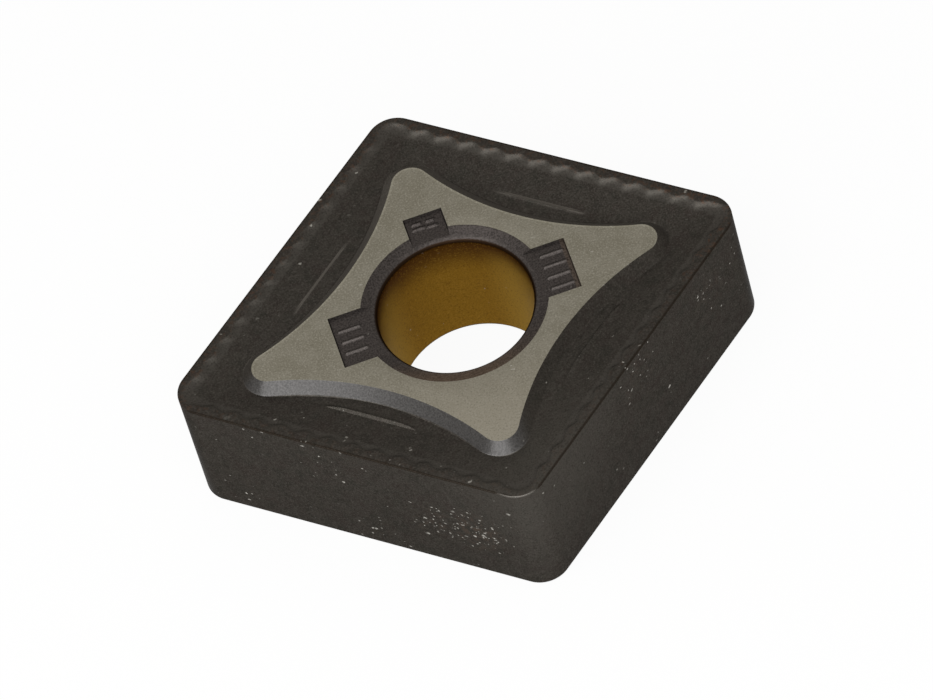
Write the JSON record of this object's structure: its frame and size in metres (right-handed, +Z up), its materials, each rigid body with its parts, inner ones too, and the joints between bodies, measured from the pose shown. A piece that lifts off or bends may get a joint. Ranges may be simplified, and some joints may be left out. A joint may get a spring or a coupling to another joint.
{
  "type": "turning insert",
  "caption": "Rhombic double-sided turning insert with rounded noses, a scalloped chip groove round a star-shaped seat plateau, and a central clamping bore.",
  "frame": {"origin": "on the bore axis, in the lower seat plane that the insert lies on", "axes": "+X along the long diagonal to one 80 degree nose, +Y along the short diagonal to the 100 degree nose beside which the upper end window lies, +Z up along the bore axis"},
  "size_m": [0.0234, 0.02, 0.0063],
  "materials": {
    "coated_carbide": "satin dark ceramic coating over cemented carbide, ground bare on the seat plateaus, golden in the bore"
  },
  "bodies": {
    "root": {"insert": "coated_carbide"}
  },
  "joints": []
}
